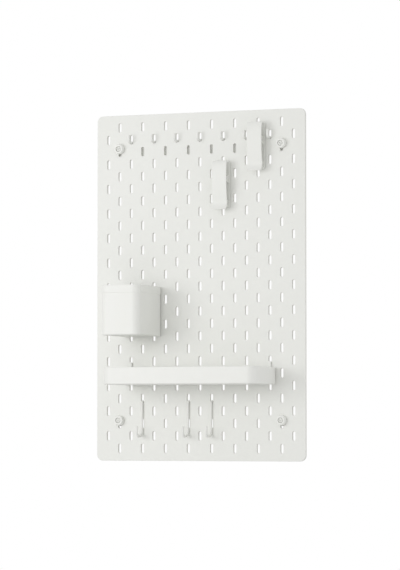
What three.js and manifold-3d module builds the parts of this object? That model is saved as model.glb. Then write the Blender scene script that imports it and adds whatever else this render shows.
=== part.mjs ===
// Pegboard tool wall: a slotted white board stands off a wall on four spacers and carries a rail of
// small hooks, two spring clips, a cup, a shelf tray and three wire hooks, all hung in its slots.
// Millimetres. X runs right, Y runs into the wall and Z runs up. The origin is on the wall, behind
// the middle of the board.

import * as THREE from 'three';
import { mergeVertices } from 'three/addons/utils/BufferGeometryUtils.js';
import Module from 'manifold-3d';

const wasm = await Module();
wasm.setup();

// Driving dimensions

const GAP = 0.3; // clearance between pieces that rest on each other
const JOIN = 0.6; // how far one shape runs into another that it is joined to

const BOARD = { width: 360, height: 560, thick: 5, corner: 10, back: -15 };
const BOARD_FRONT = BOARD.back - BOARD.thick;
const SLOT = { width: 5, height: 15, pitchX: 40, pitchZ: 20, rows: 27, endSteps: 3 };

// A mount is a spacer behind the board, a collar in front of it and a screw through both. The upper
// spacers have the wider necks.
const MOUNT = { x: 140, rows: [3, 25], aboveSlotCentre: 5, bore: 2.35, sides: 16 };
const SPACER = { foot: 10, waist: 7.5, necks: [11.2, 9], footThick: 3, neckThick: 2.5 };
const COLLAR = { radius: 8.2, frontRadius: 7.4, taper: 1.5, proud: 7.2, recess: 4.3, recessDepth: 2.9 };
const SCREW = { shank: 2, head: 4, headThick: 2.8, intoWall: 21, tip: 5, sides: 12 };

// A tab is the flat hook on the back of the cup, the tray and each clip.
const TAB = { width: 4, neckBelowCentre: 5.5, neckHeight: 3.6, lipDrop: 6.8, lipThick: 3 };

// A wire neck rests at the bottom of its slot, and the wire turns down behind the board.
const WIRE = { radius: 2, neckBelowCentre: 4.8, bend: 2.5, lipDrop: 11 };

const RAIL = { halfLength: 125, bottom: 210, top: 231.5, thick: 2, corner: 4 };
const RAIL_HOOK = { row: 2, count: 7, firstX: -120, wireFoot: 214, tipY: -30.5, tipTop: 247.2, bend: 3.5 };

const PEG_HOOK = { row: 23, xs: [-100, -20, 20], throat: 20.5, bottom: -240.5, tipTop: -224, bend: 8 };

const CUP = {
  x: -100, halfWidth: 33.5, back: -21.5, front: -116, bottom: -80, top: 0, wall: 2, row: 14,
  tabXs: [-120, -80], rearCorner: 4, frontCorner: 12,
};
const TRAY = {
  x: 0, halfWidth: 130.4, back: -21, front: -116, bottom: -158.3, top: -130.7, wall: 2, row: 20,
  tabXs: [-120, 120], rearCorner: 4, frontCorner: 14, earWidth: 5, earTop: 2.2,
};

const CLIPS = [
  { name: 'clip_a', x: 40, row: 4 },
  { name: 'clip_b', x: 100, row: 1 },
];
const CLIP = {
  halfWidth: 12.5, plateThick: 2.5, plateTop: -1, plateBottom: -75, plateCorner: 3, standOff: 0.5,
  pivotY: -29, pivotZ: -29, pin: 1.5, pinHole: 1.6, pinHalf: 10.2,
};
// An ear is half as high as its foot at the plate, and reaches a little past the pin.
const EAR = { outside: 10.3, thick: 2, halfFoot: 7.4, halfTip: 3, pastPin: 3 };
// The lever's middle line from the thumb end down to the flared tip, in Y and height from the slot.
const LEVER = {
  thick: 2, steps: 36,
  line: [
    [-31.6, -0.8], [-34.8, -3], [-37, -9], [-37.6, -20], [-37.5, -34], [-37, -46],
    [-35.9, -56], [-34.6, -64], [-34.3, -68.6], [-35.3, -72.6], [-37.4, -76], [-39.6, -78.6],
  ],
};
// A lug stands on the back of the lever beside each ear and turns on the pin.
const LUG = {
  outside: 8, thick: 1.8,
  outline: [[-37, -20], [-37, -38], [-29, -32.4], [-26.6, -31.4], [-25.6, -29], [-26.6, -26.6], [-29, -25.6]],
};
// The jaw is a pad low on the back of the lever that closes on the plate.
const JAW = { inset: 2.5, foot: -34.6, top: -61, bottom: -70, tip: -23.3, slant: 3 };
const SPRING = {
  coil: 2.6, wire: 0.4, halfWidth: 3, turns: 3.5, stepsPerTurn: 10, legUp: 6, legRear: -23.8, legFront: -34.4,
};

// Materials

const paintedBoard = new THREE.MeshStandardMaterial({ color: 0xecece8, roughness: 0.55, metalness: 0 });
const whitePlastic = new THREE.MeshStandardMaterial({ color: 0xeeeeea, roughness: 0.4, metalness: 0 });
const whiteSteel = new THREE.MeshStandardMaterial({ color: 0xe9e9e6, roughness: 0.45, metalness: 0 });
const zinc = new THREE.MeshStandardMaterial({ color: 0xb9bcbd, roughness: 0.35, metalness: 0.9 });

// Shapes

const object = new THREE.Group();

function addPiece(name, geometry, material) {
  const piece = new THREE.Mesh(geometry, material);
  piece.name = name;
  object.add(piece);
  return piece;
}

function toSolid(geometry) {
  const bare = geometry.clone();
  bare.deleteAttribute('normal');
  bare.deleteAttribute('uv');
  const merged = mergeVertices(bare, 1e-4);
  const vertProperties = merged.attributes.position.array;
  const triVerts = new Uint32Array(merged.index.array);
  return new wasm.Manifold(new wasm.Mesh({ numProp: 3, vertProperties, triVerts }));
}

function toGeometry(solid) {
  const mesh = solid.getMesh();
  const geometry = new THREE.BufferGeometry();
  geometry.setAttribute('position', new THREE.BufferAttribute(mesh.vertProperties, 3));
  geometry.setIndex(new THREE.BufferAttribute(mesh.triVerts, 1));
  return geometry;
}

function polygon(points) {
  return new THREE.Shape(points.map(([a, b]) => new THREE.Vector2(a, b)));
}

// A rectangle whose lower and upper corners have their own radii.
function roundedRectangle(left, right, low, high, lowRadius, highRadius = lowRadius) {
  const shape = new THREE.Shape();
  shape.absarc(right - lowRadius, low + lowRadius, lowRadius, -Math.PI / 2, 0);
  shape.absarc(right - highRadius, high - highRadius, highRadius, 0, Math.PI / 2);
  shape.absarc(left + highRadius, high - highRadius, highRadius, Math.PI / 2, Math.PI);
  shape.absarc(left + lowRadius, low + lowRadius, lowRadius, Math.PI, 1.5 * Math.PI);
  return shape;
}

function extruded(shape, depth, curveSegments) {
  return new THREE.ExtrudeGeometry(shape, { depth, curveSegments, bevelEnabled: false });
}

// A shape drawn in X and Z, from frontY back to backY.
function facePlate(shape, frontY, backY, curveSegments = 5) {
  const geometry = extruded(shape, backY - frontY, curveSegments);
  return geometry.rotateX(Math.PI / 2).translate(0, backY, 0);
}

// A shape drawn in Y and Z, from lowX to highX.
function sideSlab(shape, lowX, highX) {
  const geometry = extruded(shape, highX - lowX, 5);
  const turn = new THREE.Matrix4().makeBasis(
    new THREE.Vector3(0, 1, 0), new THREE.Vector3(0, 0, 1), new THREE.Vector3(1, 0, 0));
  return geometry.applyMatrix4(turn).translate(lowX, 0, 0);
}

// A shape drawn in X and Y, from lowZ up to highZ.
function floorSlab(shape, lowZ, highZ) {
  return extruded(shape, highZ - lowZ, 5).translate(0, 0, lowZ);
}

// A profile of [radius, y] points, listed outside upwards, spun about the Y axis.
function turned(profile, sides) {
  return new THREE.LatheGeometry(profile.map(([radius, y]) => new THREE.Vector2(radius, y)), sides);
}

function rod(radius, lowX, highX, y, z, sides = 16) {
  const geometry = new THREE.CylinderGeometry(radius, radius, highX - lowX, sides);
  return geometry.rotateZ(Math.PI / 2).translate((lowX + highX) / 2, y, z);
}

// A line through given points, one step between each two.
class WireLine extends THREE.Curve {
  constructor(points) {
    super();
    this.points = points;
  }

  getPoint(t) {
    const last = this.points.length - 1;
    const place = THREE.MathUtils.clamp(t, 0, 1) * last;
    const start = Math.min(Math.floor(place), last - 1);
    return this.points[start].clone().lerp(this.points[start + 1], place - start);
  }

  getPointAt(t) {
    return this.getPoint(t);
  }

  getTangentAt(t) {
    return this.getTangent(t);
  }
}

function wire(points, radius, sides = 8) {
  const section = polygon(Array.from({ length: sides }, (_, side) => {
    const angle = (2 * Math.PI * side) / sides;
    return [radius * Math.cos(angle), radius * Math.sin(angle)];
  }));
  const options = { steps: points.length - 1, bevelEnabled: false, extrudePath: new WireLine(points) };
  return new THREE.ExtrudeGeometry(section, options);
}

// Turns [y, z, bend radius] corners at one x into a line with an arc at each bend.
function bentLine(x, corners) {
  const flat = [new THREE.Vector2(corners[0][0], corners[0][1])];
  for (let i = 1; i < corners.length - 1; i++) {
    const here = new THREE.Vector2(corners[i][0], corners[i][1]);
    const back = new THREE.Vector2(corners[i - 1][0], corners[i - 1][1]).sub(here).normalize();
    const ahead = new THREE.Vector2(corners[i + 1][0], corners[i + 1][1]).sub(here).normalize();
    const halfAngle = Math.acos(back.dot(ahead)) / 2;
    const bend = corners[i][2];
    const centre = back.clone().add(ahead).normalize().multiplyScalar(bend / Math.sin(halfAngle)).add(here);
    const start = back.clone().multiplyScalar(bend / Math.tan(halfAngle)).add(here);
    const sweep = (Math.PI - 2 * halfAngle) * -Math.sign(back.cross(ahead));
    const steps = bend > 2 * WIRE.radius ? 5 : 3;
    for (let step = 0; step <= steps; step++) {
      flat.push(start.clone().rotateAround(centre, (sweep * step) / steps));
    }
  }
  const end = corners[corners.length - 1];
  flat.push(new THREE.Vector2(end[0], end[1]));
  return flat.map((point) => new THREE.Vector3(x, point.x, point.y));
}

// Board

function rowZ(row) {
  return BOARD.height / 2 - row * SLOT.pitchZ;
}

function rowXs(row) {
  const odd = row % 2 === 1;
  const count = odd ? 8 : 9;
  const firstX = -((count - 1) * SLOT.pitchX) / 2;
  return Array.from({ length: count }, (_, place) => firstX + place * SLOT.pitchX);
}

function slotHole(x, z) {
  const radius = SLOT.width / 2;
  const straight = SLOT.height / 2 - radius;
  const points = [];
  for (const end of [1, -1]) {
    for (let step = 0; step <= SLOT.endSteps; step++) {
      const angle = (Math.PI * step) / SLOT.endSteps;
      points.push([x + end * radius * Math.cos(angle), z + end * (straight + radius * Math.sin(angle))]);
    }
  }
  return new THREE.Path(points.map(([a, b]) => new THREE.Vector2(a, b)));
}

function addBoard() {
  const halfWidth = BOARD.width / 2;
  const halfHeight = BOARD.height / 2;
  const outline = roundedRectangle(-halfWidth, halfWidth, -halfHeight, halfHeight, BOARD.corner);
  for (let row = 1; row <= SLOT.rows; row++) {
    for (const x of rowXs(row)) {
      outline.holes.push(slotHole(x, rowZ(row)));
    }
  }
  addPiece('pegboard_panel', facePlate(outline, BOARD_FRONT, BOARD.back), paintedBoard);
}

// Wall mounts

function spacerShape(neck) {
  const front = BOARD.back + GAP;
  return turned([
    [MOUNT.bore, front], [neck, front], [neck, front + SPACER.neckThick],
    [SPACER.waist, front + SPACER.neckThick], [SPACER.waist, -SPACER.footThick],
    [SPACER.foot, -SPACER.footThick], [SPACER.foot, 0], [MOUNT.bore, 0], [MOUNT.bore, front],
  ], MOUNT.sides);
}

function collarShape() {
  const back = BOARD_FRONT - GAP;
  const front = back - COLLAR.proud;
  const floor = front + COLLAR.recessDepth;
  return turned([
    [MOUNT.bore, floor], [COLLAR.recess, floor], [COLLAR.recess, front], [COLLAR.frontRadius, front],
    [COLLAR.radius, front + COLLAR.taper], [COLLAR.radius, back], [MOUNT.bore, back], [MOUNT.bore, floor],
  ], MOUNT.sides);
}

function screwShape() {
  const seat = BOARD_FRONT - 2 * GAP - COLLAR.proud + COLLAR.recessDepth;
  const crown = seat - SCREW.headThick;
  return turned([
    [0, crown], [0.7 * SCREW.head, crown], [SCREW.head, seat - 1], [SCREW.head, seat], [SCREW.shank, seat],
    [SCREW.shank, SCREW.intoWall], [0, SCREW.intoWall + SCREW.tip],
  ], SCREW.sides);
}

function addMounts() {
  let number = 1;
  MOUNT.rows.forEach((row, level) => {
    for (const x of [-MOUNT.x, MOUNT.x]) {
      const z = rowZ(row) + MOUNT.aboveSlotCentre;
      addPiece(`wall_spacer_${number}`, spacerShape(SPACER.necks[level]), whitePlastic).position.set(x, 0, z);
      addPiece(`mount_collar_${number}`, collarShape(), whitePlastic).position.set(x, 0, z);
      addPiece(`wall_screw_${number}`, screwShape(), whiteSteel).position.set(x, 0, z);
      number++;
    }
  });
}

// Hook rail

function addHookRail() {
  const front = BOARD.back + GAP;
  const outline = roundedRectangle(-RAIL.halfLength, RAIL.halfLength, RAIL.bottom, RAIL.top, RAIL.corner);
  addPiece('hook_rail_strip', facePlate(outline, front, front + RAIL.thick, 3), whiteSteel);

  const wireY = front + RAIL.thick + GAP + WIRE.radius;
  const neckZ = rowZ(RAIL_HOOK.row) - WIRE.neckBelowCentre;
  for (let place = 0; place < RAIL_HOOK.count; place++) {
    const line = bentLine(RAIL_HOOK.firstX + place * SLOT.pitchX, [
      [wireY, RAIL_HOOK.wireFoot],
      [wireY, neckZ, WIRE.bend],
      [RAIL_HOOK.tipY, neckZ, RAIL_HOOK.bend],
      [RAIL_HOOK.tipY, RAIL_HOOK.tipTop],
    ]);
    addPiece(`rail_hook_${place + 1}`, wire(line, WIRE.radius), whiteSteel);
  }
}

// Wire hooks

function addPegHooks() {
  const lipY = BOARD.back + GAP + WIRE.radius;
  const shankY = BOARD_FRONT - GAP - WIRE.radius;
  const neckZ = rowZ(PEG_HOOK.row) - WIRE.neckBelowCentre;
  PEG_HOOK.xs.forEach((x, place) => {
    const line = bentLine(x, [
      [lipY, neckZ - WIRE.lipDrop],
      [lipY, neckZ, WIRE.bend],
      [shankY, neckZ, WIRE.bend],
      [shankY, PEG_HOOK.bottom, PEG_HOOK.bend],
      [shankY - PEG_HOOK.throat, PEG_HOOK.bottom, PEG_HOOK.bend],
      [shankY - PEG_HOOK.throat, PEG_HOOK.tipTop],
    ]);
    addPiece(`peg_hook_${place + 1}`, wire(line, WIRE.radius), whiteSteel);
  });
}

// Cup, tray and their tabs

function tabShape(x, slotZ, fromY) {
  const neckLow = slotZ - TAB.neckBelowCentre;
  const neckHigh = neckLow + TAB.neckHeight;
  const lipFront = BOARD.back + GAP;
  const lipBack = lipFront + TAB.lipThick;
  const chamfer = 1.2;
  const outline = polygon([
    [fromY, neckLow], [lipFront, neckLow], [lipFront, neckLow - TAB.lipDrop],
    [lipBack - chamfer, neckLow - TAB.lipDrop], [lipBack, neckLow - TAB.lipDrop + chamfer],
    [lipBack, neckHigh - chamfer], [lipBack - chamfer, neckHigh], [fromY, neckHigh],
  ]);
  return toSolid(sideSlab(outline, x - TAB.width / 2, x + TAB.width / 2));
}

function openBox(box) {
  const { x, halfWidth, front, back, wall, frontCorner, rearCorner } = box;
  const outer = roundedRectangle(x - halfWidth, x + halfWidth, front, back, frontCorner, rearCorner);
  const inside = halfWidth - wall;
  const inner = roundedRectangle(
    x - inside, x + inside, front + wall, back - wall, frontCorner - wall, rearCorner - wall);
  const shell = toSolid(floorSlab(outer, box.bottom, box.top));
  return shell.subtract(toSolid(floorSlab(inner, box.bottom + wall, box.top + JOIN)));
}

function addCup() {
  let cup = openBox(CUP);
  for (const x of CUP.tabXs) {
    cup = cup.add(tabShape(x, rowZ(CUP.row), CUP.back - JOIN));
  }
  addPiece('container_cup', toGeometry(cup), whitePlastic);
}

// The tray's rim is below its slots, so each tab stands on an ear that rises from the rear wall.
function addTray() {
  let tray = openBox(TRAY);
  const slotZ = rowZ(TRAY.row);
  for (const x of TRAY.tabXs) {
    const low = TRAY.top - TRAY.wall;
    const half = TRAY.earWidth / 2;
    const ear = roundedRectangle(x - half, x + half, low, slotZ - 1, 0.5, TRAY.earTop);
    tray = tray.add(toSolid(facePlate(ear, TRAY.back - TRAY.wall, TRAY.back, 3)));
    tray = tray.add(tabShape(x, slotZ, TRAY.back - JOIN));
  }
  addPiece('shelf_tray', toGeometry(tray), whiteSteel);
}

// Clips. Heights are from the centre of the clip's slot.

function pinHole(x, slotZ) {
  const reach = CLIP.halfWidth + JOIN;
  return toSolid(rod(CLIP.pinHole, x - reach, x + reach, CLIP.pivotY, slotZ + CLIP.pivotZ));
}

// The same side piece on the left and on the right of the clip.
function pairOfSides(points, x, slotZ, outside, thick) {
  const outline = polygon(points.map(([y, z]) => [y, slotZ + z]));
  const right = toSolid(sideSlab(outline, x + outside - thick, x + outside));
  return right.add(toSolid(sideSlab(outline, x - outside, x - outside + thick)));
}

function clipBack(x, slotZ) {
  const plateBack = BOARD_FRONT - CLIP.standOff;
  const plateFront = plateBack - CLIP.plateThick;
  const width = CLIP.halfWidth;
  const face = roundedRectangle(
    x - width, x + width, slotZ + CLIP.plateBottom, slotZ + CLIP.plateTop, CLIP.plateCorner);
  const plate = toSolid(facePlate(face, plateFront, plateBack, 3)).add(tabShape(x, slotZ, plateBack - JOIN));
  const foot = plateFront + JOIN;
  const tip = CLIP.pivotY - EAR.pastPin;
  const ear = [
    [foot, CLIP.pivotZ - EAR.halfFoot], [foot, CLIP.pivotZ + EAR.halfFoot],
    [tip, CLIP.pivotZ + EAR.halfTip], [tip, CLIP.pivotZ - EAR.halfTip],
  ];
  return plate.add(pairOfSides(ear, x, slotZ, EAR.outside, EAR.thick)).subtract(pinHole(x, slotZ));
}

// The lever's section: its middle line with half the thickness on either side.
function leverSection(slotZ) {
  const line = new THREE.SplineCurve(LEVER.line.map(([y, z]) => new THREE.Vector2(y, slotZ + z)));
  const front = [];
  const rear = [];
  for (let step = 0; step <= LEVER.steps; step++) {
    const t = step / LEVER.steps;
    const middle = line.getPoint(t);
    const across = line.getTangent(t).rotateAround(new THREE.Vector2(), Math.PI / 2);
    across.multiplyScalar(LEVER.thick / 2);
    front.push([middle.x - across.x, middle.y - across.y]);
    rear.push([middle.x + across.x, middle.y + across.y]);
  }
  return polygon([...front, ...rear.reverse()]);
}

function jaw(x, slotZ) {
  const half = CLIP.halfWidth - JAW.inset;
  const outline = polygon([
    [JAW.foot, slotZ + JAW.bottom], [JAW.tip, slotZ + JAW.bottom + JAW.slant],
    [JAW.tip, slotZ + JAW.top - JAW.slant], [JAW.foot, slotZ + JAW.top],
  ]);
  return toSolid(sideSlab(outline, x - half, x + half));
}

function clipLever(x, slotZ) {
  const plate = toSolid(sideSlab(leverSection(slotZ), x - CLIP.halfWidth, x + CLIP.halfWidth));
  const lugs = pairOfSides(LUG.outline, x, slotZ, LUG.outside, LUG.thick);
  return plate.add(lugs).add(jaw(x, slotZ)).subtract(pinHole(x, slotZ));
}

function springLine(x, pivotZ) {
  const points = [new THREE.Vector3(x - SPRING.halfWidth, SPRING.legRear, pivotZ + SPRING.legUp)];
  const steps = SPRING.turns * SPRING.stepsPerTurn;
  for (let step = 0; step <= steps; step++) {
    const angle = (-2 * Math.PI * step) / SPRING.stepsPerTurn;
    const along = x - SPRING.halfWidth + (2 * SPRING.halfWidth * step) / steps;
    points.push(new THREE.Vector3(
      along, CLIP.pivotY + SPRING.coil * Math.cos(angle), pivotZ + SPRING.coil * Math.sin(angle)));
  }
  points.push(new THREE.Vector3(x + SPRING.halfWidth + 0.5, SPRING.legFront, pivotZ + SPRING.legUp));
  return points;
}

function addClips() {
  for (const { name, x, row } of CLIPS) {
    const slotZ = rowZ(row);
    const pivotZ = slotZ + CLIP.pivotZ;
    addPiece(`${name}_back`, toGeometry(clipBack(x, slotZ)), whitePlastic);
    addPiece(`${name}_lever`, toGeometry(clipLever(x, slotZ)), whitePlastic);
    addPiece(`${name}_pin`, rod(CLIP.pin, x - CLIP.pinHalf, x + CLIP.pinHalf, CLIP.pivotY, pivotZ), zinc);
    addPiece(`${name}_spring`, wire(springLine(x, pivotZ), SPRING.wire, 6), zinc);
  }
}

addBoard();
addMounts();
addHookRail();
addPegHooks();
addCup();
addTray();
addClips();

export default object;
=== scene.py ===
import math

import bmesh
import bpy
from mathutils import Matrix, Vector


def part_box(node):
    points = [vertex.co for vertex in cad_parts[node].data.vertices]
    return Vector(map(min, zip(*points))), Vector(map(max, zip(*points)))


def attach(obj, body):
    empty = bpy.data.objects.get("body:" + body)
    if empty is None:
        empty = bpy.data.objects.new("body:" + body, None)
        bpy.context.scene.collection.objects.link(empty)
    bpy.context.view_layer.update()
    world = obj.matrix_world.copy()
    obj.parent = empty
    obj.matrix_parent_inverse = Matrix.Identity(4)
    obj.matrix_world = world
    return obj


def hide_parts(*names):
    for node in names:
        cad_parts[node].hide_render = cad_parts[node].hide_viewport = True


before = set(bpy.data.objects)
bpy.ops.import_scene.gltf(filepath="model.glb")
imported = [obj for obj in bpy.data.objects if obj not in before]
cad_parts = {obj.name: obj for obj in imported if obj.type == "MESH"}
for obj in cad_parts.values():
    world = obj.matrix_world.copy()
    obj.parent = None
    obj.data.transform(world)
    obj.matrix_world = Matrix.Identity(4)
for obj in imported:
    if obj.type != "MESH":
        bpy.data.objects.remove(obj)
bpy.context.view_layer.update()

MM = 0.001
BOARD_LOW, BOARD_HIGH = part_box("pegboard_panel")
BOARD_FRONT = BOARD_LOW.y
BOARD_BACK = BOARD_HIGH.y

# ---------------------------------------------------------------- camera, lights, floor

CAMERA = {
    "azimuth": 22.0, "elevation": -2.7, "distance": 4.72, "lens": 185.8, "sensor": 36.0,
    "aim_left": 0.8 * MM, "aim_up": 2.0 * MM,
}
LIGHTS = {
    "key_light": {"azimuth": -32.0, "elevation": 2.0, "distance": 1.6, "size": 0.77, "energy": 4.5},
    "front_light": {"azimuth": -8.0, "elevation": 5.0, "distance": 3.2, "size": 1.6, "energy": 11.7},
    "side_light": {"azimuth": 95.0, "elevation": -10.0, "distance": 1.3, "size": 0.8, "energy": 1.4},
}
SKY_SEEN = 1.0
SKY_FRONT = 0.69
SKY_BEHIND = 0.80
SKY_TURN = (-0.15, 0.35)  # from where to where, along Y, the sky's front strength goes over to the other
WHITE = (1.0, 1.0, 1.0, 1.0)
FLOOR_DROP = 0.85
FLOOR_HALF = 6.0
FLOOR_THICK = 0.02


def aim(thing, target):
    """Turns a camera or light so that it looks at a point."""
    thing.rotation_mode = "QUATERNION"
    thing.rotation_quaternion = (Vector(target) - thing.location).to_track_quat("-Z", "Y")


def direction(azimuth, elevation):
    """The way out from the object; azimuth 0 is straight in front of it, and positive is to the right."""
    turn, rise = math.radians(azimuth), math.radians(elevation)
    return Vector((math.sin(turn) * math.cos(rise), -math.cos(turn) * math.cos(rise), math.sin(rise)))


def add_camera():
    data = bpy.data.cameras.new("camera")
    data.lens = CAMERA["lens"]
    data.sensor_width = CAMERA["sensor"]
    camera = bpy.data.objects.new("camera", data)
    bpy.context.scene.collection.objects.link(camera)
    target = (BOARD_LOW + BOARD_HIGH) / 2
    camera.location = target + direction(CAMERA["azimuth"], CAMERA["elevation"]) * CAMERA["distance"]
    aim(camera, target + Vector((-CAMERA["aim_left"], 0.0, CAMERA["aim_up"])))
    bpy.context.scene.camera = camera


def add_lights():
    for name, light in LIGHTS.items():
        data = bpy.data.lights.new(name, "AREA")
        data.shape = "DISK"
        data.size = light["size"]
        data.energy = light["energy"]
        lamp = bpy.data.objects.new(name, data)
        bpy.context.scene.collection.objects.link(lamp)
        lamp.location = direction(light["azimuth"], light["elevation"]) * light["distance"]
        aim(lamp, (0.0, 0.0, 0.0))


def add_world():
    """A white sky, seen at full strength, that lights more from the wall's side than from the front."""
    world = bpy.data.worlds.new("studio")
    bpy.context.scene.world = world
    world.use_nodes = True
    nodes = world.node_tree.nodes
    links = world.node_tree.links
    nodes.clear()
    output = nodes.new("ShaderNodeOutputWorld")
    seen = nodes.new("ShaderNodeBackground")
    seen.inputs["Strength"].default_value = SKY_SEEN
    seen.inputs["Color"].default_value = WHITE
    lit = nodes.new("ShaderNodeBackground")
    lit.inputs["Color"].default_value = WHITE
    way = nodes.new("ShaderNodeSeparateXYZ")
    links.new(nodes.new("ShaderNodeTexCoord").outputs["Generated"], way.inputs[0])
    strength = nodes.new("ShaderNodeMapRange")
    strength.inputs["From Min"].default_value = SKY_TURN[0]
    strength.inputs["From Max"].default_value = SKY_TURN[1]
    strength.inputs["To Min"].default_value = SKY_FRONT
    strength.inputs["To Max"].default_value = SKY_BEHIND
    links.new(way.outputs["Y"], strength.inputs["Value"])
    links.new(strength.outputs["Result"], lit.inputs["Strength"])
    rays = nodes.new("ShaderNodeLightPath")
    mix = nodes.new("ShaderNodeMixShader")
    links.new(rays.outputs["Is Camera Ray"], mix.inputs[0])
    links.new(lit.outputs[0], mix.inputs[1])
    links.new(seen.outputs[0], mix.inputs[2])
    links.new(mix.outputs[0], output.inputs["Surface"])


# ---------------------------------------------------------------- materials


class Surface:
    """A Principled material and the few node steps that these finishes share."""

    def __init__(self, name, metallic=0.0, specular=0.5, coat=0.0):
        self.material = bpy.data.materials.new(name)
        self.material.use_nodes = True
        self.nodes = self.material.node_tree.nodes
        self.links = self.material.node_tree.links
        self.shader = self.nodes["Principled BSDF"]
        self.shader.inputs["Metallic"].default_value = metallic
        self.shader.inputs["Specular IOR Level"].default_value = specular
        self.shader.inputs["Coat Weight"].default_value = coat
        self.place = self.nodes.new("ShaderNodeTexCoord").outputs["Object"]
        self.height = None

    def stretched(self, scale):
        """Object coordinates scaled along each axis; a scale under 1 draws the pattern out."""
        mapping = self.nodes.new("ShaderNodeMapping")
        mapping.inputs["Scale"].default_value = scale
        self.links.new(self.place, mapping.inputs["Vector"])
        return mapping.outputs["Vector"]

    def noise(self, per_metre, detail=3.0, rough=0.5, stretch=None):
        node = self.nodes.new("ShaderNodeTexNoise")
        node.inputs["Scale"].default_value = per_metre
        node.inputs["Detail"].default_value = detail
        node.inputs["Roughness"].default_value = rough
        self.links.new(self.stretched(stretch) if stretch else self.place, node.inputs["Vector"])
        return node.outputs["Fac"]

    def cells(self, per_metre):
        node = self.nodes.new("ShaderNodeTexVoronoi")
        node.feature = "SMOOTH_F1"
        node.inputs["Scale"].default_value = per_metre
        self.links.new(self.place, node.inputs["Vector"])
        return node.outputs["Distance"]

    def spread(self, value, low, high, from_low=0.3, from_high=0.7):
        """Carries a noise's usual range to low and high."""
        node = self.nodes.new("ShaderNodeMapRange")
        node.inputs["From Min"].default_value = from_low
        node.inputs["From Max"].default_value = from_high
        node.inputs["To Min"].default_value = low
        node.inputs["To Max"].default_value = high
        self.links.new(value, node.inputs["Value"])
        return node.outputs["Result"]

    def blend(self, factor, first, second):
        """A colour between two, each given as numbers or by a socket."""
        node = self.nodes.new("ShaderNodeMix")
        node.data_type = "RGBA"
        self.links.new(factor, node.inputs["Factor"])
        colours = [socket for socket in node.inputs if socket.type == "RGBA"]
        for socket, value in zip(colours, (first, second)):
            if isinstance(value, tuple):
                socket.default_value = (*value, 1.0)
            else:
                self.links.new(value, socket)
        return next(socket for socket in node.outputs if socket.type == "RGBA")

    def colour(self, value):
        self.links.new(value, self.shader.inputs["Base Color"])

    def roughness(self, value):
        self.links.new(value, self.shader.inputs["Roughness"])

    def bump(self, value, depth, strength=1.0):
        """Adds relief of a depth in metres on top of the relief already there."""
        node = self.nodes.new("ShaderNodeBump")
        node.inputs["Strength"].default_value = strength
        node.inputs["Distance"].default_value = depth
        self.links.new(value, node.inputs["Height"])
        if self.height:
            self.links.new(self.height, node.inputs["Normal"])
        self.height = node.outputs["Normal"]
        self.links.new(self.height, self.shader.inputs["Normal"])


def board_lacquer():
    """Smooth white lacquer with a fine peel in its gloss, over a fibreboard that is a little uneven."""
    s = Surface("board_lacquer", specular=0.42)
    broad = s.spread(s.noise(7, 2), 0.0, 1.0)
    peel = s.noise(420, 4)
    sheet = s.blend(broad, (0.862, 0.868, 0.832), (0.874, 0.878, 0.846))
    s.colour(s.blend(s.spread(peel, 0.0, 0.35), sheet, (0.848, 0.852, 0.818)))
    s.roughness(s.spread(peel, 0.40, 0.50))
    s.bump(s.noise(950, 2), 0.00006, 0.5)
    s.bump(s.noise(160, 5, 0.6, stretch=(1.0, 1.0, 0.35)), 0.00008, 0.35)
    return s.material


def board_cut_edge():
    """The routed slots and sawn edges: the same paint over raised fibres."""
    s = Surface("board_cut_edge", specular=0.3)
    fibres = s.noise(700, 5, 0.65, stretch=(1.0, 0.25, 1.0))
    layers = s.noise(1500, 3, 0.6, stretch=(0.2, 1.0, 0.2))
    s.colour(s.blend(s.spread(fibres, 0.0, 1.0), (0.835, 0.838, 0.80), (0.79, 0.79, 0.745)))
    s.roughness(s.spread(layers, 0.6, 0.8))
    s.bump(fibres, 0.00014, 0.7)
    s.bump(layers, 0.00008, 0.6)
    return s.material


def moulded_plastic():
    """White moulded plastic with the fine spark-eroded grain of its mould."""
    s = Surface("moulded_plastic", specular=0.45)
    grain = s.noise(1900, 3, 0.6)
    flow = s.noise(24, 2, stretch=(1.0, 1.0, 0.4))
    s.colour(s.blend(s.spread(flow, 0.0, 1.0), (0.868, 0.874, 0.838), (0.882, 0.886, 0.856)))
    s.roughness(s.spread(grain, 0.36, 0.48))
    s.bump(grain, 0.00004, 0.6)
    return s.material


def powder_coat():
    """White powder coat: rounded peel about a millimetre across, slightly glossier on the crests."""
    s = Surface("powder_coat", specular=0.5)
    peel = s.cells(900)
    cloud = s.noise(60, 3)
    s.colour(s.blend(s.spread(cloud, 0.0, 1.0), (0.862, 0.866, 0.834), (0.876, 0.88, 0.85)))
    s.roughness(s.spread(peel, 0.30, 0.44, 0.1, 0.6))
    s.bump(peel, 0.00005, 0.5)
    s.bump(s.noise(2600, 2), 0.00002, 0.5)
    return s.material


def zinc_plate():
    """Bright zinc on turned steel, with fine rings from the die and a cloudy passivation."""
    s = Surface("zinc_plate", metallic=1.0)
    rings = s.noise(2200, 3, 0.6, stretch=(0.15, 1.0, 0.15))
    cloud = s.noise(300, 4)
    s.colour(s.blend(s.spread(cloud, 0.0, 1.0), (0.60, 0.61, 0.62), (0.72, 0.725, 0.72)))
    s.roughness(s.spread(cloud, 0.24, 0.40))
    s.bump(rings, 0.00003, 0.6)
    return s.material


def spring_steel():
    """Drawn spring wire, darker and smoother than the zinc."""
    s = Surface("spring_steel", metallic=1.0)
    drawn = s.noise(3000, 2, stretch=(1.0, 0.4, 0.4))
    s.colour(s.blend(s.spread(drawn, 0.0, 1.0), (0.42, 0.43, 0.44), (0.55, 0.56, 0.57)))
    s.roughness(s.spread(drawn, 0.22, 0.34))
    s.bump(drawn, 0.00002, 0.5)
    return s.material


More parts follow.
